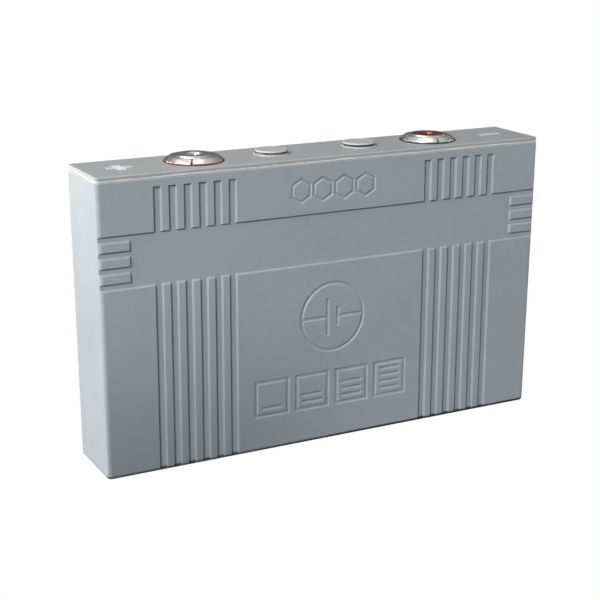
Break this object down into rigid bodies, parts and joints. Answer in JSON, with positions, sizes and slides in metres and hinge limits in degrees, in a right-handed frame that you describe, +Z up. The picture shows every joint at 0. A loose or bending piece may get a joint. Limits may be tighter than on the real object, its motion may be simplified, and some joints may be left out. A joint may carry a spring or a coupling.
{
  "type": "large prismatic battery cell",
  "caption": "Upright slab-shaped rechargeable cell in a ribbed plastic case, with a welded lid, round screw terminals, a spring vent and a screw-in filling plug.",
  "frame": {"origin": "centre of the underside, where the cell stands", "axes": "+X along the cell from the positive to the negative terminal, +Y through its thickness from the front face to the back face, +Z up"},
  "size_m": [0.45, 0.071, 0.2763],
  "materials": {
    "case_plastic": "satin",
    "lid_plastic": "satin",
    "weld_plastic": "satin",
    "cap_plastic": "satin",
    "valve_plastic": "satin",
    "insulator_plastic": "matte",
    "foam_pad": "matte",
    "wrap_film": "gloss",
    "electrode_block": "matte",
    "nut_nickel": "satin",
    "post_aluminium": "satin",
    "post_copper": "satin",
    "foil_aluminium": "satin",
    "foil_copper": "satin",
    "spring_steel": "satin",
    "gasket_red": "satin",
    "gasket_black": "satin",
    "seal_rubber": "matte"
  },
  "bodies": {
    "cell": {"case_body": "case_plastic", "lid": "lid_plastic", "lid_weld": "weld_plastic", "positive_terminal": "post_aluminium", "positive_terminal_nut": "nut_nickel", "positive_gasket": "gasket_red", "positive_inner_seal": "seal_rubber", "positive_clamp_plates": "post_aluminium", "positive_tab_rivets": "post_aluminium", "positive_tabs_1": "foil_aluminium", "positive_tabs_2": "foil_aluminium", "positive_tabs_3": "foil_aluminium", "positive_tabs_4": "foil_aluminium", "negative_terminal": "post_copper", "negative_terminal_nut": "nut_nickel", "negative_gasket": "gasket_black", "negative_inner_seal": "seal_rubber", "negative_clamp_plates": "post_copper", "negative_tab_rivets": "post_copper", "negative_tabs_1": "foil_copper", "negative_tabs_2": "foil_copper", "negative_tabs_3": "foil_copper", "negative_tabs_4": "foil_copper", "electrode_stack_1": "electrode_block", "stack_wrap_1": "wrap_film", "electrode_stack_2": "electrode_block", "stack_wrap_2": "wrap_film", "electrode_stack_3": "electrode_block", "stack_wrap_3": "wrap_film", "electrode_stack_4": "electrode_block", "stack_wrap_4": "wrap_film", "bottom_pad": "foam_pad", "end_spacers": "foam_pad", "top_insulator": "insulator_plastic", "vent_body": "cap_plastic", "vent_cap": "cap_plastic", "vent_spring": "spring_steel"},
    "vent_valve": {"vent_disc": "valve_plastic", "vent_disc_seal": "seal_rubber"},
    "plug_ring": {"fill_plug_ring": "seal_rubber"},
    "plug": {"fill_plug": "cap_plastic"}
  },
  "joints": [
    {"name": "vent_valve_lift", "type": "slide", "parent": "cell", "child": "vent_valve", "axis": [0, 0, 1], "range_m": [0, 0.002], "stiffness_N_per_m": 400, "springref_m": -0.01, "deforming": ["vent_spring"]},
    {"name": "fill_plug_lift", "type": "slide", "parent": "cell", "child": "plug_ring", "axis": [0, 0, 1], "range_m": [0, 0.0111]},
    {"name": "fill_plug_turn", "type": "hinge", "parent": "plug_ring", "child": "plug", "pos_m": [0.0455, 0, 0.2712], "axis": [0, 0, 1], "range_deg": [0, 1980]}
  ],
  "couplings": [
    {"joint": "fill_plug_lift", "follows": "fill_plug_turn", "m_per_rad": 0.00031831}
  ]
}
